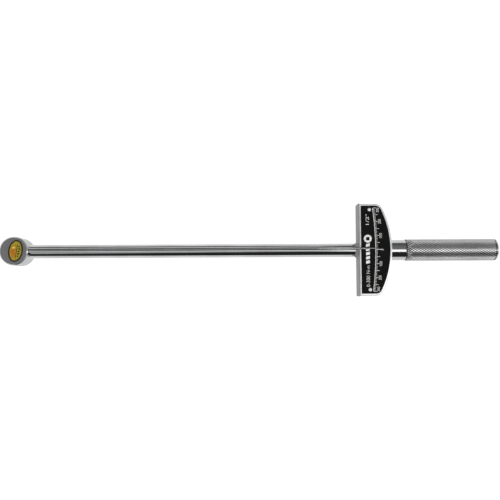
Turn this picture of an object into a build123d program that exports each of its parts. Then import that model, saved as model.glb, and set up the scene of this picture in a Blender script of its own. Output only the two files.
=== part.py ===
from build123d import *

import os
from math import atan2, cos, degrees, hypot, sin, sqrt

# Beam torque wrench with a half-inch square drive, reading 300 N.m each way.
#
# A round steel bar, the beam, joins the drive head to the handle and bends under load. A straight pointer
# rod is fixed in the head above the beam. It carries no load, so it stays straight while the scale, which
# is fixed to the handle end of the beam, moves sideways under its tip.
#
# Frame, in millimetres: the origin is the centre of the square drive's end face, +X runs along the beam
# towards the handle, and +Z is the drive axis, out through the face of the head that carries the label.

# ---- Driving dimensions ----

SQUARE_SIZE = 12.7  # across flats of the drive square
SQUARE_LENGTH = 15.0
SQUARE_CORNER = 0.9  # chamfer along the square's long edges
SQUARE_TIP = 1.2  # lead-in chamfer at the square's end

COLLAR_RADIUS = 10.5  # raised ring under the head that a socket seats on
COLLAR_HEIGHT = 1.2

HEAD_RADIUS = 14.2
HEAD_BELOW_BEAM = 12.8  # head face to beam axis, on the drive side
HEAD_ABOVE_BEAM = 14.2  # the same on the label side, where the pointer enters
HEAD_EDGE = 1.0

BEAM_RADIUS = 6.75
BEAM_START = -8.0
BEAM_END = 412.0
BEAM_EDGE = 0.6

POINTER_RADIUS = 2.0
POINTER_TIP_RADIUS = 0.45
POINTER_TAPER = 60.0
POINTER_START = 5.0
POINTER_END = 361.6
POINTER_HEIGHT_AT_HEAD = 10.4  # rod axis above the beam axis at the drive axis
POINTER_HEIGHT_AT_SCALE = 16.2  # the same at the tip
POINTER_OFFSET = 1.0  # the rod's bore is drilled this far to the side of the beam

PLATE_LEFT = 343.0  # outer face of the housing's front flange
PLATE_APEX = 376.2  # middle of the housing's curved side
PLATE_HALF_WIDTH = 45.9
PLATE_ARC_RADIUS = 95.0
PLATE_CORNER_RADIUS = 8.5
SHEET = 1.2  # thickness of the housing's steel
SHEET_BEND = 1.3  # outside radius of its pressed edges
SKIRT_DEPTH = 5.0
FLANGE_BELOW_BEAM = 10.3
FLANGE_OVERHANG = 0.5  # the flange is this much wider than the plate at each end
FLARE_RADIUS = 2.8  # concave flare where the flange is drawn out along the beam
FLARE_LIP = 0.3  # thickness of the flare's thin end

DIAL_INSET = 2.1
DIAL_THICKNESS = 0.8
RIVET_X = 353.5
RIVET_Y = 39.8
RIVET_SHANK_RADIUS = 1.1
RIVET_HEAD_RADIUS = 1.7
RIVET_HEAD_HEIGHT = 0.8

NECK_RADIUS = 10.3
NECK_END = 391.0
GRIP_RADIUS = 10.8
GRIP_END = 482.8
GRIP_BEVEL = 1.8
CAP_RADIUS = GRIP_RADIUS - GRIP_BEVEL
CAP_END = 483.8
CAP_FACE_RADIUS = 5.0
CAP_SHANK = 14.0

PIN_RADIUS = 2.5
PIN_WALL = 0.9
PIN_SLOT = 1.0
PIN_RECESS = 0.5  # how far each end of a pin sits below the surface around it
HANDLE_PIN_X = 357.0

BALL_RADIUS = 2.5
BALL_OUT = 1.0  # how far the ball stands out of the square's flat
BALL_LIP = 0.3  # thickness of the staked lip that keeps the ball in
BALL_HOLE_RADIUS = 2.6
BALL_HOLE_END = 1.8  # depth of the hole, given as a Y position
SPRING_WIRE = 0.2
SPRING_RADIUS = 1.7
SPRING_TURNS = 4.5

LABEL_HALF_LENGTH = 11.0
LABEL_HALF_WIDTH = 7.3
LABEL_THICKNESS = 0.15
LABEL_TURN = -9.0
LABEL_X = 2.2

SLIP = 0.02  # radial gap of a close fit

# ---- Derived dimensions ----

HEAD_BOTTOM = SQUARE_LENGTH + COLLAR_HEIGHT
BEAM_Z = HEAD_BOTTOM + HEAD_BELOW_BEAM
HEAD_TOP = BEAM_Z + HEAD_ABOVE_BEAM
BALL_Z = SQUARE_LENGTH / 2
BALL_Y = BALL_RADIUS - BALL_OUT - SQUARE_SIZE / 2
BALL_MOUTH_RADIUS = sqrt(BALL_RADIUS**2 - (BALL_RADIUS - BALL_OUT - BALL_LIP) ** 2) + SLIP
PLATE_BOTTOM = BEAM_Z + NECK_RADIUS + 2 * SLIP
PLATE_TOP = PLATE_BOTTOM + SHEET
DIAL_TOP = PLATE_TOP + DIAL_THICKNESS
POINTER_SLOPE = atan2(POINTER_HEIGHT_AT_SCALE - POINTER_HEIGHT_AT_HEAD, POINTER_END)

ALONG_X = Rot(0, 90, 0)
ALONG_Y = Rot(-90, 0, 0)
FROM_START = (Align.CENTER, Align.CENTER, Align.MIN)
POINTER_FOOT = Pos(0, POINTER_OFFSET, BEAM_Z + POINTER_HEIGHT_AT_HEAD)
POINTER_LINE = POINTER_FOOT * Rot(0, 90 - degrees(POINTER_SLOPE), 0)


# ---- Helpers ----


def bar(radius, start, end, height=BEAM_Z):
    """A round bar along X at y = 0."""
    return Pos(start, 0, height) * ALONG_X * Cylinder(radius, end - start, align=FROM_START)


def turned(points):
    """A solid turned about the beam axis from (x, radius) points joined by straight lines."""
    outline = [(x, BEAM_Z + r) for x, r in points]
    profile = Plane.XZ * make_face(Polyline(*outline, close=True))
    return revolve(profile, Axis((0, 0, BEAM_Z), (1, 0, 0)), 360)


def plate_outline(left, half_width, apex, radius, corner):
    """The D-shaped plan of the scale: a straight front edge, two short sides and one long arc."""
    end_x = apex - radius + sqrt(radius**2 - half_width**2)
    sides = Polyline((end_x, -half_width), (left, -half_width), (left, half_width), (end_x, half_width))
    arc = ThreePointArc((end_x, half_width), (apex, 0), (end_x, -half_width))
    face = make_face([*sides.edges(), *arc.edges()])
    rounded = [v for v in face.vertices() if v.X > left + SHEET]
    return fillet(rounded, corner)


def slab(inset, bottom, thickness):
    """A slice of the D shape, the inset inside the housing's outline."""
    face = plate_outline(
        PLATE_LEFT + inset,
        PLATE_HALF_WIDTH - inset,
        PLATE_APEX - inset,
        PLATE_ARC_RADIUS - inset,
        PLATE_CORNER_RADIUS - inset,
    )
    return Pos(0, 0, bottom) * extrude(face, thickness)


def spring_pin(length):
    """A slotted tube pin on Z, centred on the origin."""
    slot = Pos(PIN_RADIUS, 0, 0) * Box(2 * PIN_RADIUS, PIN_SLOT, length)
    tube = Cylinder(PIN_RADIUS, length) - Cylinder(PIN_RADIUS - PIN_WALL, length)
    return tube - slot


def pointer_bar(radius, start, end):
    """A round bar on the pointer's inclined axis, between two distances along it."""
    return POINTER_LINE * Pos(0, 0, start) * Cylinder(radius, end - start, align=FROM_START)


# ---- Drive head ----


def make_drive_head():
    """Forged round head with the drive square, bored for the beam, the pointer, a pin and the detent."""
    head = Pos(0, 0, HEAD_BOTTOM) * Cylinder(HEAD_RADIUS, HEAD_TOP - HEAD_BOTTOM, align=FROM_START)
    head = chamfer(head.edges(), HEAD_EDGE)
    collar = Pos(0, 0, SQUARE_LENGTH) * Cylinder(COLLAR_RADIUS, COLLAR_HEIGHT, align=FROM_START)
    square = Box(SQUARE_SIZE, SQUARE_SIZE, SQUARE_LENGTH, align=FROM_START)
    square = chamfer(square.edges().filter_by(Axis.Z), SQUARE_CORNER)
    square = chamfer(square.faces().sort_by(Axis.Z)[0].edges(), SQUARE_TIP)
    head = head + collar + square
    head -= bar(BEAM_RADIUS + SLIP, BEAM_START, HEAD_RADIUS + 1)
    head -= pointer_bar(POINTER_RADIUS + SLIP, POINTER_START, HEAD_RADIUS + 3)
    head -= Pos(0, 0, BEAM_Z) * ALONG_Y * Cylinder(PIN_RADIUS + SLIP, 2 * HEAD_RADIUS)
    mouth = Pos(0, -SQUARE_SIZE, BALL_Z) * ALONG_Y
    head -= mouth * Cylinder(BALL_MOUTH_RADIUS, SQUARE_SIZE, align=FROM_START)
    hole_start = -SQUARE_SIZE / 2 + BALL_LIP
    hole = Cylinder(BALL_HOLE_RADIUS, BALL_HOLE_END - hole_start, align=FROM_START)
    return head - Pos(0, hole_start, BALL_Z) * ALONG_Y * hole


def make_detent_ball():
    """Steel ball that grips the recess inside a socket."""
    return Pos(0, BALL_Y, BALL_Z) * Sphere(BALL_RADIUS)


def make_detent_spring():
    """Coil spring behind the detent ball."""
    reach = SPRING_RADIUS / BALL_RADIUS
    start = BALL_Y + BALL_RADIUS * sqrt(1 - reach**2) + 2 * SPRING_WIRE
    height = BALL_HOLE_END - SPRING_WIRE - 2 * SLIP - start
    coil = Helix(height / SPRING_TURNS, height, SPRING_RADIUS)
    section = Plane(origin=coil @ 0, z_dir=coil % 0) * Circle(SPRING_WIRE)
    return Pos(0, start, BALL_Z) * ALONG_Y * sweep(section, path=coil)


def make_head_pin():
    """Spring pin across the head that keeps the beam in its bore."""
    side = sqrt(HEAD_RADIUS**2 - PIN_RADIUS**2)
    return Pos(0, 0, BEAM_Z) * ALONG_Y * spring_pin(2 * (side - PIN_RECESS))


def make_head_label():
    """Oval foil label on the head's face."""
    oval = Rot(0, 0, LABEL_TURN) * Ellipse(LABEL_HALF_WIDTH, LABEL_HALF_LENGTH)
    return Pos(LABEL_X, 0, HEAD_TOP) * extrude(oval, LABEL_THICKNESS)


# ---- Pointer and beam ----


def make_pointer_rod():
    """Straight rod from the head to the scale, ground to a point."""
    length = hypot(POINTER_END, POINTER_HEIGHT_AT_SCALE - POINTER_HEIGHT_AT_HEAD)
    rod = pointer_bar(POINTER_RADIUS, POINTER_START, length - POINTER_TAPER)
    tip = Cone(POINTER_RADIUS, POINTER_TIP_RADIUS, POINTER_TAPER, align=FROM_START)
    return rod + POINTER_LINE * Pos(0, 0, length - POINTER_TAPER) * tip


def make_beam():
    """Round spring-steel bar that bends under load, cross-drilled for a pin at each end."""
    beam = bar(BEAM_RADIUS, BEAM_START + SLIP, BEAM_END)
    beam = chamfer(beam.edges().filter_by(GeomType.CIRCLE), BEAM_EDGE)
    beam -= Pos(0, 0, BEAM_Z) * ALONG_Y * Cylinder(PIN_RADIUS + SLIP, 2 * HEAD_RADIUS)
    return beam - Pos(HANDLE_PIN_X, 0, BEAM_Z) * Cylinder(PIN_RADIUS + SLIP, 2 * NECK_RADIUS)


# ---- Scale ----


def make_flare():
    """Ring of the front flange drawn out along the beam, with a concave outside."""
    bore = BEAM_Z + BEAM_RADIUS + SLIP
    tip = PLATE_LEFT - FLARE_RADIUS
    start = (tip, bore + FLARE_LIP)
    end = (PLATE_LEFT, bore + FLARE_LIP + FLARE_RADIUS)
    bow = FLARE_RADIUS * (1 - sqrt(0.5))
    middle = (PLATE_LEFT - bow, bore + FLARE_LIP + bow)
    root = PLATE_LEFT + SHEET / 2
    sides = Polyline(end, (root, end[1]), (root, bore), (tip, bore), start)
    profile = Plane.XZ * make_face([*sides.edges(), ThreePointArc(start, middle, end)])
    return revolve(profile, Axis((0, 0, BEAM_Z), (1, 0, 0)), 360)


def make_scale_housing():
    """Pressed steel tray: a D-shaped top, a shallow skirt and a deep front flange that the beam passes."""
    tray = slab(0, PLATE_TOP - SKIRT_DEPTH, SKIRT_DEPTH)
    tray = fillet(tray.faces().sort_by(Axis.Z)[-1].edges(), SHEET_BEND)
    tray -= slab(SHEET, PLATE_TOP - SKIRT_DEPTH - 1, SKIRT_DEPTH + 1 - SHEET)
    low = BEAM_Z - FLANGE_BELOW_BEAM
    width = 2 * (PLATE_HALF_WIDTH + FLANGE_OVERHANG)
    flange = Box(SHEET, width, PLATE_TOP - SHEET_BEND - low, align=(Align.MIN, Align.CENTER, Align.MIN))
    flange = fillet(flange.edges().filter_by(Axis.X), SHEET_BEND)
    housing = tray + Pos(PLATE_LEFT, 0, low) * flange
    housing -= bar(BEAM_RADIUS + SLIP, PLATE_LEFT - 1, PLATE_LEFT + 2 * SHEET)
    housing += make_flare()
    housing -= bar(NECK_RADIUS + SLIP, PLATE_LEFT + SHEET, PLATE_APEX + 1)
    for side in (-RIVET_Y, RIVET_Y):
        housing -= Pos(RIVET_X, side, PLATE_TOP) * Cylinder(RIVET_SHANK_RADIUS + SLIP, 4 * SHEET)
    return housing


def make_scale_plate():
    """Black printed aluminium dial that lies on the housing, inside its bright rim."""
    dial = slab(DIAL_INSET, PLATE_TOP, DIAL_THICKNESS)
    for side in (-RIVET_Y, RIVET_Y):
        dial -= Pos(RIVET_X, side, DIAL_TOP) * Cylinder(RIVET_SHANK_RADIUS + SLIP, 4 * DIAL_THICKNESS)
    return dial


def make_scale_rivets():
    """Two domed rivets that hold the dial to the housing."""
    dome_radius = (RIVET_HEAD_RADIUS**2 + RIVET_HEAD_HEIGHT**2) / (2 * RIVET_HEAD_HEIGHT)
    dome = Pos(0, 0, RIVET_HEAD_HEIGHT - dome_radius) * Sphere(dome_radius)
    dome &= Cylinder(RIVET_HEAD_RADIUS, RIVET_HEAD_HEIGHT, align=FROM_START)
    depth = DIAL_TOP - PLATE_BOTTOM
    shank = Pos(0, 0, -depth) * Cylinder(RIVET_SHANK_RADIUS, depth, align=FROM_START)
    tail_height = RIVET_HEAD_HEIGHT / 2
    tail = Pos(0, 0, -depth - tail_height) * Cylinder(RIVET_HEAD_RADIUS, tail_height, align=FROM_START)
    rivet = dome + shank + tail
    return Compound([Pos(RIVET_X, side, DIAL_TOP) * rivet for side in (-RIVET_Y, RIVET_Y)])


# ---- Handle ----


def make_handle_tube():
    """Steel tube on the end of the beam: a plain neck, then the grip at the crest of its knurling."""
    start = PLATE_LEFT + SHEET + 2 * SLIP
    tube = turned(
        [
            (start, BEAM_RADIUS + SLIP),
            (start, NECK_RADIUS),
            (NECK_END, NECK_RADIUS),
            (NECK_END, GRIP_RADIUS),
            (GRIP_END - GRIP_BEVEL, GRIP_RADIUS),
            (GRIP_END, CAP_RADIUS),
            (GRIP_END, BEAM_RADIUS + SLIP),
        ]
    )
    return tube - Pos(HANDLE_PIN_X, 0, BEAM_Z) * Cylinder(PIN_RADIUS + SLIP, 3 * NECK_RADIUS)


def make_handle_pin():
    """Spring pin through the tube and the beam, under the scale."""
    side = sqrt(NECK_RADIUS**2 - PIN_RADIUS**2)
    return Pos(HANDLE_PIN_X, 0, BEAM_Z) * spring_pin(2 * (side - PIN_RECESS))


def make_end_cap():
    """Domed plug pressed into the open end of the tube."""
    rim = (GRIP_END + SLIP, BEAM_Z + CAP_RADIUS)
    face = (CAP_END, BEAM_Z + CAP_FACE_RADIUS)
    half_chord = hypot(face[0] - rim[0], face[1] - rim[1]) / 2
    bulge = half_chord / 8
    lean = atan2(face[0] - rim[0], rim[1] - face[1])
    middle = (
        (rim[0] + face[0]) / 2 + bulge * cos(lean),
        (rim[1] + face[1]) / 2 + bulge * sin(lean),
    )
    shank_start = GRIP_END - CAP_SHANK
    sides = Polyline(
        face,
        (CAP_END, BEAM_Z),
        (shank_start, BEAM_Z),
        (shank_start, BEAM_Z + BEAM_RADIUS),
        (rim[0], BEAM_Z + BEAM_RADIUS),
        rim,
    )
    profile = Plane.XZ * make_face([*sides.edges(), ThreePointArc(rim, middle, face)])
    return revolve(profile, Axis((0, 0, BEAM_Z), (1, 0, 0)), 360)


NODES = {
    "drive_head": make_drive_head,
    "detent_ball": make_detent_ball,
    "detent_spring": make_detent_spring,
    "head_pin": make_head_pin,
    "head_label": make_head_label,
    "pointer_rod": make_pointer_rod,
    "beam": make_beam,
    "scale_housing": make_scale_housing,
    "scale_plate": make_scale_plate,
    "scale_rivets": make_scale_rivets,
    "handle_tube": make_handle_tube,
    "handle_pin": make_handle_pin,
    "end_cap": make_end_cap,
}

os.makedirs("parts", exist_ok=True)
for name, make in NODES.items():
    export_step(make(), f"parts/{name}.step")
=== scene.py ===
import math

import bmesh
import bpy
from mathutils import Matrix, Vector


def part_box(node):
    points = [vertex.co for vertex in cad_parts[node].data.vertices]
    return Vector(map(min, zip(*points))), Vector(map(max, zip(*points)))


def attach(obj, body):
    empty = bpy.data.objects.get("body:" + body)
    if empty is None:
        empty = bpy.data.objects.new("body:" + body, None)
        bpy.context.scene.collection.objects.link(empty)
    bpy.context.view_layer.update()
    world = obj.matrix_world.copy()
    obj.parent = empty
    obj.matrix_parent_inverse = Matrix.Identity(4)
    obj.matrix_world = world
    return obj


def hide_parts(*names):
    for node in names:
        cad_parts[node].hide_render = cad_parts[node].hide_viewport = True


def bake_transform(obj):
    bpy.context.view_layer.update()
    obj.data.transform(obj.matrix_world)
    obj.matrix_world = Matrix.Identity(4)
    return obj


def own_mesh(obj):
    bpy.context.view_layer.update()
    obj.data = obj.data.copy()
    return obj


# Beam torque wrench, seen from above on a pale floor. Every length is in metres, in the frame of the
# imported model: +X from the head to the handle, +Z out through the head's label. A length that reads
# better in millimetres is written as so many times MM.

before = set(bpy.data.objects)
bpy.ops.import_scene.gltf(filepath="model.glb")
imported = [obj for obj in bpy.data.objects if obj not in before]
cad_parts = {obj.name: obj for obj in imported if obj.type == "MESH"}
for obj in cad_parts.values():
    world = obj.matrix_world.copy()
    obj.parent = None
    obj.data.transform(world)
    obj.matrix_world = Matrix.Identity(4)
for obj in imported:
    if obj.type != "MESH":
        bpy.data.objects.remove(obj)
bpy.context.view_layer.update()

MM = 0.001
BEAM_LOW, BEAM_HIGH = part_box("beam")
TUBE_LOW, TUBE_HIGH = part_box("handle_tube")
LABEL_LOW, LABEL_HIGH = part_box("head_label")
LABEL_MIDDLE = (LABEL_LOW + LABEL_HIGH) / 2

BEAM_Z = (BEAM_LOW.z + BEAM_HIGH.z) / 2
BEAM_RADIUS = (BEAM_HIGH.z - BEAM_LOW.z) / 2
DRIVE_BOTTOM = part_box("drive_head")[0].z
DIAL_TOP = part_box("scale_plate")[1].z
CAP_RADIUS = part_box("end_cap")[1].z - BEAM_Z
PLATE_BEND_X = 343.9 * MM  # end of the bend between the scale's front flange and its bright rim


# ---- Node helpers ----


class Nodes:
    """A material's or the world's node tree, with short ways to add and join nodes."""

    def __init__(self, owner):
        owner.use_nodes = True
        self.tree = owner.node_tree
        self.tree.nodes.clear()

    def add(self, kind, values=None, **settings):
        node = self.tree.nodes.new(kind)
        for key, value in settings.items():
            setattr(node, key, value)
        for key, value in (values or {}).items():
            if isinstance(value, bpy.types.NodeSocket):
                self.tree.links.new(value, node.inputs[key])
            else:
                node.inputs[key].default_value = value
        return node

    def math(self, operation, a, b=0.0):
        return self.add("ShaderNodeMath", {0: a, 1: b}, operation=operation).outputs[0]

    def remap(self, value, old_low, old_high, new_low, new_high):
        values = {0: value, 1: old_low, 2: old_high, 3: new_low, 4: new_high}
        return self.add("ShaderNodeMapRange", values).outputs[0]

    def ramp(self, value, stops):
        """A ramp from (position, grey) stops."""
        node = self.add("ShaderNodeValToRGB", {0: value})
        elements = node.color_ramp.elements
        while len(elements) < len(stops):
            elements.new(0.5)
        for element, (position, grey) in zip(elements, stops):
            element.position = position
            element.color = (grey, grey, grey, 1)
        return node.outputs[0]

    def mix(self, share, first, second):
        """A blend of two colours, each a socket or an (r, g, b)."""
        first, second = ((*c, 1) if isinstance(c, tuple) else c for c in (first, second))
        values = {0: share, 6: first, 7: second}
        return self.add("ShaderNodeMix", values, data_type="RGBA").outputs[2]

    def blend_over(self, value, low, high, first, second):
        """The first colour up to the low value, the second from the high one, and a blend between."""
        return self.mix(self.remap(value, low, high, 0.0, 1.0), first, second)

    def noise(self, scale, stretch=(1, 1, 1), detail=4.0, roughness=0.55):
        place = self.add("ShaderNodeTexCoord").outputs["Object"]
        moved = self.add("ShaderNodeMapping", {"Vector": place, "Scale": stretch}).outputs[0]
        values = {"Vector": moved, "Scale": scale, "Detail": detail, "Roughness": roughness}
        return self.add("ShaderNodeTexNoise", values).outputs["Fac"]

    def bump(self, height, strength, depth, **more):
        values = {"Height": height, "Strength": strength, "Distance": depth, **more}
        return self.add("ShaderNodeBump", values).outputs[0]

    def rounded_edge(self, radius):
        return self.add("ShaderNodeBevel", {"Radius": radius}, samples=4).outputs[0]

    def surface(self, values):
        shader = self.add("ShaderNodeBsdfPrincipled", values)
        self.add("ShaderNodeOutputMaterial", {"Surface": shader.outputs[0]})


def new_material(name):
    material = bpy.data.materials.new(name)
    return material, Nodes(material)


# ---- Materials ----

CHROME = (0.50, 0.505, 0.51)
MARK_DEPTH = 0.04 * MM  # of the fine marks in plated metal


def plated_metal(name, shade, roughness, grain, grain_depth, edge=0.25 * MM, grazing=1.0):
    """Chrome plate: fine marks along the grain, slow changes of tone and gloss, and softened edges.

    The grain is how much the marks are squeezed along X, Y and Z, and grazing is the tint of the plate
    where it is seen almost along its surface.
    """
    material, n = new_material(name)
    slow = n.noise(38.0, detail=3.0)
    smear = n.noise(210.0, (0.6, 1.0, 1.0), detail=5.0)
    marks = n.noise(900.0, grain, detail=3.0, roughness=0.7)
    dull = tuple(c * 0.90 for c in shade)
    bright = tuple(min(1.0, c * 1.05) for c in shade)
    colour = n.blend_over(slow, 0.35, 0.65, dull, bright)
    gloss = n.math("ADD", n.math("MULTIPLY", smear, 0.6), n.math("MULTIPLY", marks, 0.4))
    rough = n.remap(gloss, 0.3, 0.7, roughness * 0.7, roughness * 1.4)
    normal = n.bump(marks, grain_depth, MARK_DEPTH, Normal=n.rounded_edge(edge))
    values = {"Base Color": colour, "Metallic": 1.0, "Roughness": rough, "Normal": normal}
    n.surface({**values, "Specular Tint": (grazing, grazing, grazing, 1.0)})
    return material


def knurled_metal():
    """The grip's satin plate, bright on its worn crests; the knurling's grooves are darkened, partly as
    painted shade in the recesses and partly as old grease.
    """
    material, n = new_material("chrome_knurled")
    slow = n.noise(38.0, detail=3.0)
    smear = n.noise(210.0, detail=5.0)
    marks = n.noise(900.0, detail=3.0, roughness=0.7)
    plate = n.blend_over(slow, 0.35, 0.65, (0.79, 0.79, 0.795), (0.92, 0.92, 0.925))
    # Groove bottoms go nearly black: painted shade of the recesses, together with some old grease.
    groove = n.add("ShaderNodeAttribute", attribute_name="groove").outputs["Fac"]
    colour = n.mix(n.math("MULTIPLY", groove, 0.95), plate, (0.05, 0.048, 0.045))
    rough = n.remap(smear, 0.3, 0.7, 0.28, 0.35)
    normal = n.bump(marks, 0.3, MARK_DEPTH)
    values = {"Base Color": colour, "Metallic": 1.0, "Roughness": rough, "Normal": normal}
    n.surface({**values, "Specular Tint": (0.2, 0.2, 0.2, 1.0)})
    return material


def pressed_steel():
    """The housing's plated sheet: pale and satin on top; on the front flange rougher, less metallic and
    grey, the grey being painted shade.
    """
    material, n = new_material("pressed_steel")
    slow = n.noise(45.0, detail=3.0)
    smear = n.noise(260.0, (1.0, 0.4, 1.0), detail=5.0)
    marks = n.noise(1100.0, (1.0, 0.15, 1.0), detail=3.0, roughness=0.7)
    place = n.add("ShaderNodeTexCoord").outputs["Object"]
    x = n.add("ShaderNodeSeparateXYZ", {0: place}).outputs[0]
    # 1 on the front flange: rougher and less metallic there, and its grey colour is painted shade
    #                        standing in for a darker reflection.
    dull = n.remap(x, PLATE_BEND_X - 0.25 * MM, PLATE_BEND_X + 0.25 * MM, 1.0, 0.0)
    pale = n.blend_over(slow, 0.35, 0.65, (0.70, 0.70, 0.71), (0.80, 0.80, 0.80))
    grey = n.blend_over(smear, 0.35, 0.65, (0.20, 0.20, 0.205), (0.30, 0.30, 0.305))
    colour = n.mix(dull, pale, grey)
    metallic = n.remap(dull, 0.0, 1.0, 0.5, 0.1)
    polish = n.remap(smear, 0.3, 0.7, 0.14, 0.26)
    rough = n.math("ADD", polish, n.math("MULTIPLY", dull, 0.4))
    normal = n.bump(marks, 0.25, MARK_DEPTH, Normal=n.rounded_edge(0.4 * MM))
    n.surface({"Base Color": colour, "Metallic": metallic, "Roughness": rough, "Normal": normal})
    return material


def dial_black():
    """Matt black anodised sheet with faint dust."""
    material, n = new_material("dial_black")
    cloud = n.noise(60.0, detail=4.0)
    grain = n.noise(2600.0, detail=2.0)
    dust = n.remap(n.noise(1500.0, detail=1.0), 0.68, 0.76, 0.0, 0.10)
    colour = n.blend_over(cloud, 0.3, 0.7, (0.0030, 0.0030, 0.0033), (0.0060, 0.0060, 0.0062))
    colour = n.mix(dust, colour, (0.10, 0.10, 0.10))
    normal = n.bump(grain, 0.12, 0.03 * MM)
    rough = n.remap(cloud, 0.3, 0.7, 0.46, 0.58)
    values = {"Base Color": colour, "Roughness": rough, "Specular IOR Level": 0.06, "Normal": normal}
    n.surface(values)
    return material


def print_white():
    """Screen-printed white ink, slightly uneven and worn thin in places."""
    material, n = new_material("print_white")
    wear = n.noise(900.0, detail=5.0, roughness=0.7)
    colour = n.blend_over(wear, 0.35, 0.62, (0.50, 0.50, 0.49), (0.84, 0.84, 0.82))
    rough = n.remap(wear, 0.3, 0.7, 0.42, 0.62)
    n.surface({"Base Color": colour, "Roughness": rough, "Normal": n.bump(wear, 0.2, 0.02 * MM)})
    return material


def rivet_metal():
    """Plain aluminium, dulled almost to white."""
    material, n = new_material("rivet_metal")
    cloud = n.noise(700.0, detail=4.0)
    colour = n.blend_over(cloud, 0.3, 0.7, (0.70, 0.70, 0.70), (0.90, 0.90, 0.89))
    normal = n.bump(cloud, 0.3, 0.05 * MM)
    n.surface({"Base Color": colour, "Metallic": 0.45, "Roughness": 0.42, "Normal": normal})
    return material


def label_black():
    """Dark ink of the foil label, for its border and its bars."""
    material, n = new_material("label_black")
    cloud = n.noise(400.0, detail=4.0)
    colour = n.mix(cloud, (0.012, 0.008, 0.003), (0.032, 0.023, 0.008))
    rough = n.remap(cloud, 0.3, 0.7, 0.3, 0.45)
    n.surface({"Base Color": colour, "Roughness": rough, "Specular IOR Level": 0.25})
    return material


def label_gold():
    """Gold foil, olive in its creases, with an orange patch and a bright spot on that."""
    material, n = new_material("label_gold")
    place = n.add("ShaderNodeTexCoord").outputs["Object"]
    axes = n.add("ShaderNodeSeparateXYZ", {0: place}).outputs
    blot = n.noise(260.0, detail=3.0)

    def blob(x, y, half_x, half_y):
        """How far inside an uneven oval a point is, from 0 outside it to 1 at its middle."""
        across = n.math("MULTIPLY", n.math("SUBTRACT", axes[0], x), 1 / half_x)
        along = n.math("MULTIPLY", n.math("SUBTRACT", axes[1], y), 1 / half_y)
        reach = n.math("ADD", n.math("MULTIPLY", across, across), n.math("MULTIPLY", along, along))
        return n.remap(n.math("ADD", reach, n.math("MULTIPLY", blot, 0.9)), 0.5, 1.6, 1.0, 0.0)

    crease = n.noise(1200.0, (1.0, 0.25, 1.0), detail=5.0)
    foil = n.blend_over(crease, 0.3, 0.7, (0.26, 0.19, 0.010), (0.60, 0.47, 0.050))
    patch = blob(LABEL_MIDDLE.x - 2.5 * MM, LABEL_MIDDLE.y - 0.5 * MM, 2.9 * MM, 7.2 * MM)
    spot = blob(LABEL_MIDDLE.x - 1.9 * MM, LABEL_MIDDLE.y + 3.3 * MM, 2.0 * MM, 1.3 * MM)
    colour = n.mix(patch, foil, (0.56, 0.17, 0.012))
    colour = n.mix(spot, colour, (1.0, 0.74, 0.14))
    normal = n.bump(crease, 0.25, 0.05 * MM)
    rough = n.remap(crease, 0.3, 0.7, 0.28, 0.5)
    n.surface({"Base Color": colour, "Metallic": 0.55, "Roughness": rough, "Normal": normal})
    return material


def floor_white():
    """White studio floor: a slight mottle under an even light of its own."""
    material, n = new_material("floor_white")
    cloud = n.noise(9.0, detail=3.0)
    colour = n.mix(cloud, (0.18, 0.18, 0.182), (0.22, 0.22, 0.22))
    glow = {"Emission Color": (1.0, 1.0, 1.0, 1.0), "Emission Strength": 0.9}
    n.surface({"Base Color": colour, "Roughness": 0.9, "Specular IOR Level": 0.1, **glow})
    return material


# ---- Mesh helpers ----


def to_object(name, bm, material, smooth_angle=None):
    """A new object from a bmesh, its faces turned outwards and smooth below an angle in degrees."""
    bmesh.ops.recalc_face_normals(bm, faces=bm.faces)
    mesh = bpy.data.meshes.new(name)
    bm.to_mesh(mesh)
    bm.free()
    if smooth_angle is not None:
        mesh.shade_smooth()
        mesh.set_sharp_from_angle(angle=math.radians(smooth_angle))
    mesh.materials.append(material)
    piece = bpy.data.objects.new(name, mesh)
    bpy.context.scene.collection.objects.link(piece)
    return piece


def round_angles(count):
    """Angles at equal steps once round."""
    return [2 * math.pi * i / count for i in range(count)]


def ring(bm, x, radius, count):
    """A ring of vertices round the beam's axis."""
    angles = round_angles(count)
    return [bm.verts.new((x, radius * math.cos(a), BEAM_Z + radius * math.sin(a))) for a in angles]


def join_rings(bm, first, second):
    """A band of faces between two rings of the same count."""
    count = len(first)
    for i in range(count):
        bm.faces.new((first[i], first[(i + 1) % count], second[(i + 1) % count], second[i]))


def prism(bm, outline, bottom, top):
    """A closed flat piece from an (x, y) outline, both ends filled."""
    low = [bm.verts.new((x, y, bottom)) for x, y in outline]
    high = [bm.verts.new((x, y, top)) for x, y in outline]
    bm.faces.new(low)
    bm.faces.new(high)
    join_rings(bm, low, high)


# ---- Beam ----

BAR_SEGMENTS = 96
BAR_LENGTHS = 150
BAR_CHAMFER = 0.6 * MM


def build_beam(material):
    """The round bar, in many short lengths from the head to the handle."""
    bm = bmesh.new()
    near, far = BEAM_LOW.x + BAR_CHAMFER, BEAM_HIGH.x - BAR_CHAMFER
    rings = [ring(bm, BEAM_LOW.x, BEAM_RADIUS - BAR_CHAMFER, BAR_SEGMENTS)]
    for i in range(BAR_LENGTHS + 1):
        rings.append(ring(bm, near + (far - near) * i / BAR_LENGTHS, BEAM_RADIUS, BAR_SEGMENTS))
    rings.append(ring(bm, BEAM_HIGH.x, BEAM_RADIUS - BAR_CHAMFER, BAR_SEGMENTS))
    for first, second in zip(rings, rings[1:]):
        join_rings(bm, first, second)
    bm.faces.new(rings[0])
    bm.faces.new(rings[-1])
    beam = to_object("beam_bar", bm, material, smooth_angle=40)
    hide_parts("beam")
    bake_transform(beam)


# ---- Detent spring ----


def build_spring(material):
    """The detent's spring, which in the real wrench shortens by the ball's travel towards the bottom of
    its hole; here the CAD coil is copied as it is and goes with the head.
    """
    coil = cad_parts["detent_spring"].data.copy()
    coil.materials.clear()
    coil.materials.append(material)
    spring = bpy.data.objects.new("spring_coils", coil)
    bpy.context.scene.collection.objects.link(spring)
    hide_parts("detent_spring")
    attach(spring, "head")
    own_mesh(spring)


# ---- Handle ----

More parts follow.
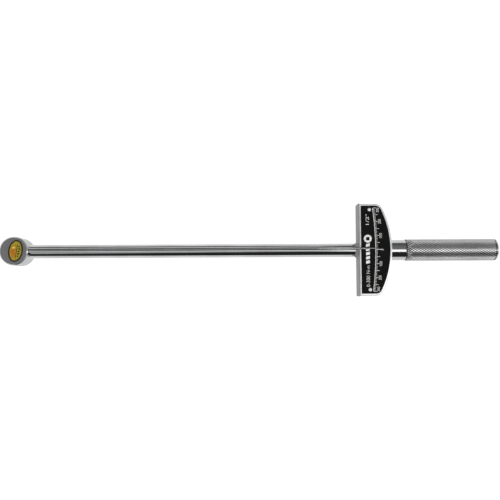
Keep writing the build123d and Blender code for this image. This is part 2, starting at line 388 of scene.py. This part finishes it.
NECK_RADIUS = 10.3 * MM
NECK_END = 390.3 * MM
NECK_CHAMFER = 0.2 * MM
BORE_GAP = 0.02 * MM  # between the bar and the tube's bore
TUBE_BEVEL = 1.8 * MM
BEVEL_STEPS = 6
BEVEL_SINK = 0.1 * MM  # the bevel's start below the crests of the knurling
KNURL_STARTS = 30  # grooves of each hand round the grip
KNURL_PITCH = 3.46 * MM  # length of a diamond along the grip
KNURL_DEPTH = 0.38 * MM
KNURL_PROFILE = ((0.64, 0.92), (0.36, 0.98))  # shares of a diamond's half width, and its height there
KNURL_LEAD = 7.0 * MM  # length over which the first diamonds are cut sharper
KNURL_FIRST_SHARE = 0.35  # of a full crest's width, where the grip starts
KNURL_GAPS = (0.2 * MM, 0.3 * MM)  # from the neck's end, and to the bevel


class Knurl:
    """Diamond knurling round the grip, built row by row between two rings of groove bottoms."""

    def __init__(self, bm, start, end, root, crest):
        self.bm = bm
        self.start = start
        self.columns = 2 * KNURL_STARTS
        self.rows = 2 * round((end - start) / KNURL_PITCH)
        self.step = (end - start) / self.rows
        self.root = root
        self.crest = crest
        # 1 at the groove bottoms: where the grip's material paints shade, with some old grease.
        self.groove = bm.verts.layers.float.new("groove")
        self.low = {}

    def vertex(self, row, column, radius, groove):
        angle = 2 * math.pi * column / self.columns
        x = self.start + row * self.step
        made = self.bm.verts.new((x, radius * math.cos(angle), BEAM_Z + radius * math.sin(angle)))
        made[self.groove] = groove
        return made

    def build(self):
        for row in range(self.rows + 1):
            for column in range(row % 2, self.columns, 2):
                self.low[row, column] = self.vertex(row, column, self.root, 1.0)
        for row in range(1, self.rows):
            for column in range((row + 1) % 2, self.columns, 2):
                self.diamond(row, column)

    def diamond(self, row, column):
        """One diamond: four flanks that rise from the grooves and round over to a worn crest."""
        corners = [(row, column - 1), (row + 1, column), (row, column + 1), (row - 1, column)]
        lead = min(1.0, row * self.step / KNURL_LEAD)
        depth = self.crest - self.root
        outer = [self.low[r, c % self.columns] for r, c in corners]
        for share, height in KNURL_PROFILE:
            share *= KNURL_FIRST_SHARE + (1 - KNURL_FIRST_SHARE) * lead
            inner = []
            for r, c in corners:
                away = (row + (r - row) * share, column + (c - column) * share)
                inner.append(self.vertex(*away, self.root + depth * height, 0.0))
            self.band(outer, inner)
            outer = inner
        peak = self.vertex(row, column, self.crest, 0.0)
        for i in range(4):
            self.bm.faces.new((outer[i - 1], outer[i], peak))

    def band(self, outer, inner):
        for i in range(4):
            self.bm.faces.new((outer[i - 1], outer[i], inner[i], inner[i - 1]))

    def close(self, row, step, edge):
        """Fills the saw-tooth edge between a full ring of vertices and the first or last row."""
        for column in range(row % 2, self.columns, 2):
            here = self.low[row, column]
            after = self.low[row, (column + 2) % self.columns]
            between = self.low[row + step, (column + 1) % self.columns]
            a, b, c = (edge[(column + i) % self.columns] for i in range(3))
            self.bm.faces.new((here, between, after))
            self.bm.faces.new((here, a, b))
            self.bm.faces.new((here, b, after))
            self.bm.faces.new((b, c, after))


def neck_profile(bore):
    """The tube's front end and neck, as (x, radius) from the bore's mouth to the grip."""
    return [
        (TUBE_LOW.x, bore),
        (TUBE_LOW.x, NECK_RADIUS - NECK_CHAMFER),
        (TUBE_LOW.x + NECK_CHAMFER, NECK_RADIUS),
        (NECK_END - NECK_CHAMFER, NECK_RADIUS),
        (NECK_END, NECK_RADIUS),
    ]


def bevel_profile(rim, crest, bore):
    """The tube's rounded far edge, as (x, radius) from the grip down to the end cap and the bore."""
    top = crest - BEVEL_SINK
    profile = [(rim, crest - KNURL_DEPTH)]
    for i in range(BEVEL_STEPS + 1):
        angle = math.radians(90 * i / BEVEL_STEPS)
        drop = (top - CAP_RADIUS) * (1 - math.cos(angle))
        profile.append((rim + TUBE_BEVEL * math.sin(angle), top - drop))
    return profile + [(TUBE_HIGH.x, bore)]


def build_handle(plain, knurled):
    """The tube as one closed shell: bore, neck, knurled grip and the rounded edge at the end cap."""
    bm = bmesh.new()
    crest = (TUBE_HIGH.z - TUBE_LOW.z) / 2
    rim = TUBE_HIGH.x - TUBE_BEVEL
    bore = BEAM_RADIUS + BORE_GAP
    start_gap, end_gap = KNURL_GAPS
    knurl = Knurl(bm, NECK_END + start_gap, rim - end_gap, crest - KNURL_DEPTH, crest)
    opening = [ring(bm, x, r, knurl.columns) for x, r in neck_profile(bore)]
    knurl.build()
    knurl.close(0, 1, opening[-1])
    closing = [ring(bm, x, r, knurl.columns) for x, r in bevel_profile(rim, crest, bore)]
    knurl.close(knurl.rows, -1, closing[0])
    for chain in (opening, closing, [closing[-1], opening[0]]):
        for first, second in zip(chain, chain[1:]):
            join_rings(bm, first, second)
    for face in bm.faces:
        on_grip = NECK_END + start_gap / 2 < face.calc_center_median().x < rim
        face.material_index = 1 if on_grip else 0
    handle = to_object("handle_knurled", bm, plain, smooth_angle=30)
    handle.data.materials.append(knurled)
    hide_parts("handle_tube")
    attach(handle, "handle")


# ---- Dial print ----

PRINT_HEIGHT = 0.04 * MM
SCALE_RADIUS = 316.0 * MM  # of the printed base line
SCALE_LINE_X = 359.1 * MM
SCALE_HALF = 41.2 * MM  # from zero to the last mark
SCALE_LINE_WIDTH = 0.5 * MM
LAST_TORQUE = 300
MARK_STEP = 10
LONG_STEP = 50
NUMBER_STEP = 100
SHORT_MARK = (2.3 * MM, 0.30 * MM)  # reach from the base line, and width
LONG_MARK = (4.5 * MM, 0.36 * MM)
NUMBERED_MARK = (3.8 * MM, 0.36 * MM)
ZERO_MARK = (6.0 * MM, 0.5 * MM)
NUMBER_OUT = 5.5 * MM  # from the base line to a number's middle
NUMBER_HEIGHT = 2.7 * MM
DIGIT_PITCH = 1.6 * MM
DIGIT_SPACE = 0.3 * MM
ZERO_SHIFT = 1.4 * MM  # further out, past the longer zero mark
LAST_SHIFT = (-0.3 * MM, -2.6 * MM)  # of the last numbers: towards the head, and towards zero
COLUMN_X = 351.6 * MM  # middle of the print beside the scale
RANGE_Y = -26.4 * MM
DRIVE_SIZE_Y = 30.0 * MM
SYMBOL_Y = 10.8 * MM
SYMBOL_RADIUS = 3.9 * MM
SYMBOL_HALF_SQUARE = 1.7 * MM
BLOCK_COUNT = 5
BLOCK_FIRST_Y = -14.2 * MM
BLOCK_PITCH = 4.2 * MM
BLOCK_HALF = 1.9 * MM  # across the dial's column
BLOCK_WIDTH = 2.9 * MM
BLOCK_SLANT = 0.8 * MM


def scale_point(torque, out):
    """The place on the dial of a torque, a distance outside the base line."""
    angle = math.asin(SCALE_HALF / SCALE_RADIUS) * torque / LAST_TORQUE
    reach = SCALE_RADIUS + out
    centre_x = SCALE_LINE_X - SCALE_RADIUS
    return Vector((centre_x + reach * math.cos(angle), reach * math.sin(angle)))


def stroke(bm, start, end, width, bottom, top):
    """A straight printed line."""
    side = (end - start).orthogonal().normalized() * width / 2
    prism(bm, [start + side, start - side, end - side, end + side], bottom, top)


def mark_size(torque):
    """The reach and the width of a torque's mark."""
    if torque == 0:
        return ZERO_MARK
    if torque % NUMBER_STEP == 0:
        return NUMBERED_MARK
    if torque % LONG_STEP == 0:
        return LONG_MARK
    return SHORT_MARK


def print_piece(name, bm, material):
    """A piece of the dial's white print, which goes with the handle."""
    piece = to_object(name, bm, material)
    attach(piece, "handle")


def build_scale_marks(material):
    """The base line and its marks, every 10 N.m, longer every 50."""
    bm = bmesh.new()
    bottom, top = DIAL_TOP, DIAL_TOP + PRINT_HEIGHT
    steps = range(-LAST_TORQUE, LAST_TORQUE + 1, MARK_STEP)
    inner = [scale_point(t, 0) for t in steps]
    outer = [scale_point(t, SCALE_LINE_WIDTH) for t in reversed(steps)]
    prism(bm, inner + outer, bottom, top)
    for torque in steps:
        length, width = mark_size(torque)
        start, end = scale_point(torque, SCALE_LINE_WIDTH / 2), scale_point(torque, length)
        stroke(bm, start, end, width, bottom, top)
    print_piece("scale_marks", bm, material)


def add_figures(bm, words, place, height, width, weight):
    """Adds figures that read towards +Y, their tops towards the head, centred on the place.

    They are made one unit thick and then fitted to the height and width, and to the print's thickness.
    """
    curve = bpy.data.curves.new("figures", "FONT")
    curve.body = words
    curve.align_x = "CENTER"
    curve.offset = weight
    curve.extrude = 0.5
    text = bpy.data.objects.new("figures", curve)
    bpy.context.scene.collection.objects.link(text)
    bpy.context.view_layer.update()
    mesh = bpy.data.meshes.new_from_object(text)
    bpy.data.objects.remove(text)
    lows = [min(v.co[i] for v in mesh.vertices) for i in range(2)]
    highs = [max(v.co[i] for v in mesh.vertices) for i in range(2)]
    scales = (width / (highs[0] - lows[0]), height / (highs[1] - lows[1]), PRINT_HEIGHT, 1)
    fit = Matrix.Diagonal(scales)
    centred = Matrix.Translation((-(lows[0] + highs[0]) / 2, -(lows[1] + highs[1]) / 2, 0.5))
    spot = Matrix.Translation((place[0], place[1], DIAL_TOP))
    mesh.transform(spot @ Matrix.Rotation(math.pi / 2, 4, "Z") @ fit @ centred)
    bm.from_mesh(mesh)
    bpy.data.meshes.remove(mesh)


def build_figures(material):
    """Figures at each 100 N.m, and the range and the drive size beside the scale."""
    bm = bmesh.new()
    for torque in range(-LAST_TORQUE, LAST_TORQUE + 1, NUMBER_STEP):
        words = str(abs(torque))
        place = scale_point(torque, NUMBER_OUT)
        if abs(torque) == LAST_TORQUE:
            place += Vector((LAST_SHIFT[0], math.copysign(1, torque) * LAST_SHIFT[1]))
        if torque == 0:
            place.x += ZERO_SHIFT
        width = len(words) * DIGIT_PITCH - DIGIT_SPACE
        add_figures(bm, words, place, NUMBER_HEIGHT, width, weight=-0.01)
    place = (COLUMN_X, RANGE_Y)
    add_figures(bm, "0-300 N·m", place, height=3.5 * MM, width=20.8 * MM, weight=-0.012)
    place = (COLUMN_X - 0.3 * MM, DRIVE_SIZE_Y)
    add_figures(bm, '1/2"', place, height=3.2 * MM, width=10.6 * MM, weight=-0.005)
    print_piece("dial_figures", bm, material)


def build_drive_symbol(material):
    """A disc with a square hole, the plain symbol of a square drive."""
    bm = bmesh.new()
    centre = Vector((COLUMN_X, SYMBOL_Y))
    ways = [Vector((math.cos(a), math.sin(a))) for a in round_angles(64)]
    circle = [centre + SYMBOL_RADIUS * way for way in ways]
    square = [centre + SYMBOL_HALF_SQUARE / max(abs(way.x), abs(way.y)) * way for way in ways]
    loops = []
    for outline in (circle, square):
        for z in (DIAL_TOP, DIAL_TOP + PRINT_HEIGHT):
            loops.append([bm.verts.new((p.x, p.y, z)) for p in outline])
    for a, b in ((0, 1), (1, 3), (3, 2), (2, 0)):
        join_rings(bm, loops[a], loops[b])
    print_piece("drive_symbol", bm, material)


def build_blocks(material):
    """Slanted blocks in a row, a plain ornament."""
    bm = bmesh.new()
    left, right = COLUMN_X - BLOCK_HALF, COLUMN_X + BLOCK_HALF
    for i in range(BLOCK_COUNT):
        start = BLOCK_FIRST_Y + i * BLOCK_PITCH
        end = start + BLOCK_WIDTH
        corners = [(left, start), (left, end), (right, end + BLOCK_SLANT), (right, start + BLOCK_SLANT)]
        prism(bm, corners, DIAL_TOP, DIAL_TOP + PRINT_HEIGHT)
    print_piece("dial_blocks", bm, material)


# ---- Head label ----

LABEL_TURN = math.radians(-9.0)
LABEL_HALF = (7.3 * MM, 11.0 * MM)  # half axes of its oval
LABEL_BORDER = 1.5 * MM
FOIL_TOP = LABEL_HIGH.z + 0.03 * MM
INK_TOP = FOIL_TOP + 0.02 * MM
LINE_X = 0.9 * MM
LINE_HALF = 6.4 * MM
LINE_WIDTH = 0.7 * MM
BAR_START = 2.2 * MM
BAR_REACHES = (1.6 * MM, 2.2 * MM, 1.9 * MM, 2.3 * MM, 1.5 * MM)
BAR_PITCH = 2.4 * MM
BAR_WIDTH = 1.3 * MM


def on_label(x, y):
    """A place on the label, measured from its middle along its own turned axes."""
    return Vector(LABEL_MIDDLE.xy) + Matrix.Rotation(LABEL_TURN, 2) @ Vector((x, y))


def label_stroke(bm, start, end, width):
    """A straight line printed on the foil, between two places on the label."""
    stroke(bm, on_label(*start), on_label(*end), width, FOIL_TOP, INK_TOP)


def build_label(gold, ink):
    """The foil inside the label's dark border, with a plain line and bars printed on it."""
    bm = bmesh.new()
    half_x, half_y = (half - LABEL_BORDER for half in LABEL_HALF)
    oval = [on_label(half_x * math.cos(a), half_y * math.sin(a)) for a in round_angles(96)]
    prism(bm, oval, LABEL_HIGH.z, FOIL_TOP)
    foil = to_object("label_foil_face", bm, gold)
    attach(foil, "head")

    bm = bmesh.new()
    label_stroke(bm, (LINE_X, -LINE_HALF), (LINE_X, LINE_HALF), LINE_WIDTH)
    for i, reach in enumerate(BAR_REACHES):
        y = (i - len(BAR_REACHES) // 2) * BAR_PITCH
        label_stroke(bm, (BAR_START, y), (BAR_START + reach, y), BAR_WIDTH)
    marks = to_object("label_bars", bm, ink)
    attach(marks, "head")


# ---- Studio ----

FLOOR_RADIUS = 4.0
FLOOR_GAP = 0.05 * MM
DRIVE_EDGE_X = 5.15 * MM  # edge of the drive's flat end, inside its chamfer
CAMERA_DISTANCE = 0.740
CAMERA_TARGET = Vector((0.2345, 0.0008, BEAM_Z))
CAMERA_ELEVATION = math.radians(86.6)
CAMERA_ROLL = math.radians(-0.25)
CAMERA_LENS = 52.75
LIGHT_TARGET = Vector((0.25, 0, 0))

# The tent's angles are in degrees from straight up: sideways, positive towards +Y, or lengthways,
# positive towards the handle.
TENT_LEAN = 0.8  # degrees sideways per degree towards the head
LEAN_SPAN = (-20, 5)  # lengthways, from the full lean to none
# The roof, as (degrees sideways, brightness).
SKY = [(-90, 0.03), (-34, 0.03), (-21, 0.09), (8, 0.30), (24, 0.25), (42, 0.22), (62, 0.15), (88, 0.11)]
STRIP = (-20.5, 2.0)  # the overhead strip's two edges, sideways
STRIP_SPAN = (5.5, 9.5)  # lengthways, where its brightness changes
STRIP_NEAR_HEAD = 0.6
STRIP_NEAR_HANDLE = 2.3
END_WALLS = 0.55  # brightness of the tent's far walls, past the head and past the handle
END_WALLS_SPAN = (52, 74)  # lengthways, from no wall to the full wall
HORIZON_SPAN = (0.02, 0.05)  # height on a unit sphere over which the pale horizon ends
HORIZON_COLOUR = (0.95, 0.95, 0.95)


def build_floor():
    """A wide disc just under the drive's end and the grip, sloped as the wrench lies on it."""
    touch = Vector((DRIVE_EDGE_X, 0, DRIVE_BOTTOM))
    rest = Vector((TUBE_HIGH.x - TUBE_BEVEL, 0, TUBE_LOW.z))
    slope = math.atan2(rest.z - touch.z, rest.x - touch.x)
    bm = bmesh.new()
    bmesh.ops.create_circle(bm, cap_ends=True, segments=128, radius=FLOOR_RADIUS)
    floor = to_object("floor", bm, floor_white())
    lowered = touch - Vector((0, 0, FLOOR_GAP))
    floor.matrix_world = Matrix.Translation(lowered) @ Matrix.Rotation(-slope, 4, "Y")


def degrees_ramp(nodes, angle, stops):
    """A ramp over an angle in degrees, from (degrees, brightness) stops."""
    share = nodes.remap(angle, -180, 180, 0.0, 1.0)
    return nodes.ramp(share, [((degrees + 180) / 360, shade) for degrees, shade in stops])


def build_world():
    """A light tent: a bright strip overhead, one side grey, the other dark, and a pale horizon."""
    world = bpy.data.worlds.new("studio")
    bpy.context.scene.world = world
    n = Nodes(world)
    way = n.add("ShaderNodeTexCoord").outputs["Generated"]
    axes = n.add("ShaderNodeSeparateXYZ", {0: way}).outputs
    side = n.math("DEGREES", n.math("ARCTAN2", axes[1], axes[2]))
    reach = n.math("DEGREES", n.math("ARCTAN2", axes[0], n.math("ABSOLUTE", axes[2])))
    lean = n.remap(reach, *LEAN_SPAN, (LEAN_SPAN[0] - LEAN_SPAN[1]) * TENT_LEAN, 0.0)
    tented = n.math("SUBTRACT", side, lean)
    sky = degrees_ramp(n, tented, SKY)
    left, right = STRIP
    edges = [(left - 2, 0.0), (left + 1, 1.0), (right - 1, 1.0), (right + 3, 0.0)]
    inside = degrees_ramp(n, tented, edges)
    level = n.remap(reach, *STRIP_SPAN, STRIP_NEAR_HEAD, STRIP_NEAR_HANDLE)
    strip = n.math("MULTIPLY", inside, level)
    ends = n.remap(n.math("ABSOLUTE", reach), *END_WALLS_SPAN, 0.0, END_WALLS)
    bright = n.math("MAXIMUM", n.math("MAXIMUM", sky, strip), ends)
    horizon = n.remap(axes[2], *HORIZON_SPAN, 1.0, 0.0)
    colour = n.mix(horizon, bright, HORIZON_COLOUR)
    light = n.add("ShaderNodeBackground", {"Color": colour, "Strength": 1.0})
    n.add("ShaderNodeOutputWorld", {"Surface": light.outputs[0]})


def build_light(name, place, size, power):
    """A square soft box that faces the floor under the wrench and isn't seen in reflections."""
    data = bpy.data.lights.new(name, "AREA")
    data.energy = power
    data.size = size
    light = bpy.data.objects.new(name, data)
    aim = LIGHT_TARGET - place
    light.location = place
    light.rotation_mode = "QUATERNION"
    light.rotation_quaternion = aim.to_track_quat("-Z", "Y")
    light.visible_glossy = False
    bpy.context.scene.collection.objects.link(light)


def build_camera():
    """Almost straight above the wrench, and a little towards its near side."""
    data = bpy.data.cameras.new("camera")
    data.sensor_width = 36.0
    data.lens = CAMERA_LENS
    data.clip_start = 0.01
    data.clip_end = 50.0
    camera = bpy.data.objects.new("camera", data)
    back = Vector((0, -math.cos(CAMERA_ELEVATION), math.sin(CAMERA_ELEVATION)))
    look = (-back).to_track_quat("-Z", "Y").to_matrix().to_4x4()
    roll = Matrix.Rotation(CAMERA_ROLL, 4, "Z")
    camera.matrix_world = Matrix.Translation(CAMERA_TARGET + back * CAMERA_DISTANCE) @ look @ roll
    bpy.context.scene.collection.objects.link(camera)
    bpy.context.scene.camera = camera


def paint(node, material):
    """Gives a CAD node its finished material."""
    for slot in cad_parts[node].material_slots:
        slot.material = material


def main():
    bpy.context.scene.view_settings.view_transform = "Standard"
    build_camera()
    build_world()
    build_light("soft_top", Vector((0.25, -0.25, 1.3)), 1.6, 15.0)
    build_light("soft_far", Vector((0.45, 1.1, 0.9)), 1.0, 3.0)
    build_floor()

    along = (0.08, 1.0, 1.0)
    even = (1.0, 1.0, 1.0)
    polished = plated_metal("chrome_polished", CHROME, 0.07, along, 0.15)
    smooth = plated_metal("chrome_smooth", CHROME, 0.10, along, 0.2)
    forged = plated_metal("chrome_forged", (0.58, 0.585, 0.59), 0.18, even, 0.3, 0.12 * MM, 0.72)
    oxide = plated_metal("black_oxide", (0.16, 0.16, 0.165), 0.35, even, 0.4, 0.1 * MM)
    steel = plated_metal("bright_steel", (0.68, 0.68, 0.69), 0.12, even, 0.2, 0.1 * MM)
    ink = print_white()
    border = label_black()

    paint("drive_head", forged)
    paint("detent_ball", steel)
    paint("head_pin", oxide)
    paint("handle_pin", oxide)
    paint("head_label", border)
    paint("pointer_rod", smooth)
    paint("scale_housing", pressed_steel())
    paint("scale_plate", dial_black())
    paint("scale_rivets", rivet_metal())
    paint("end_cap", polished)

    build_beam(polished)
    build_spring(steel)
    build_handle(smooth, knurled_metal())
    build_scale_marks(ink)
    build_figures(ink)
    build_drive_symbol(ink)
    build_blocks(ink)
    build_label(label_gold(), border)


main()
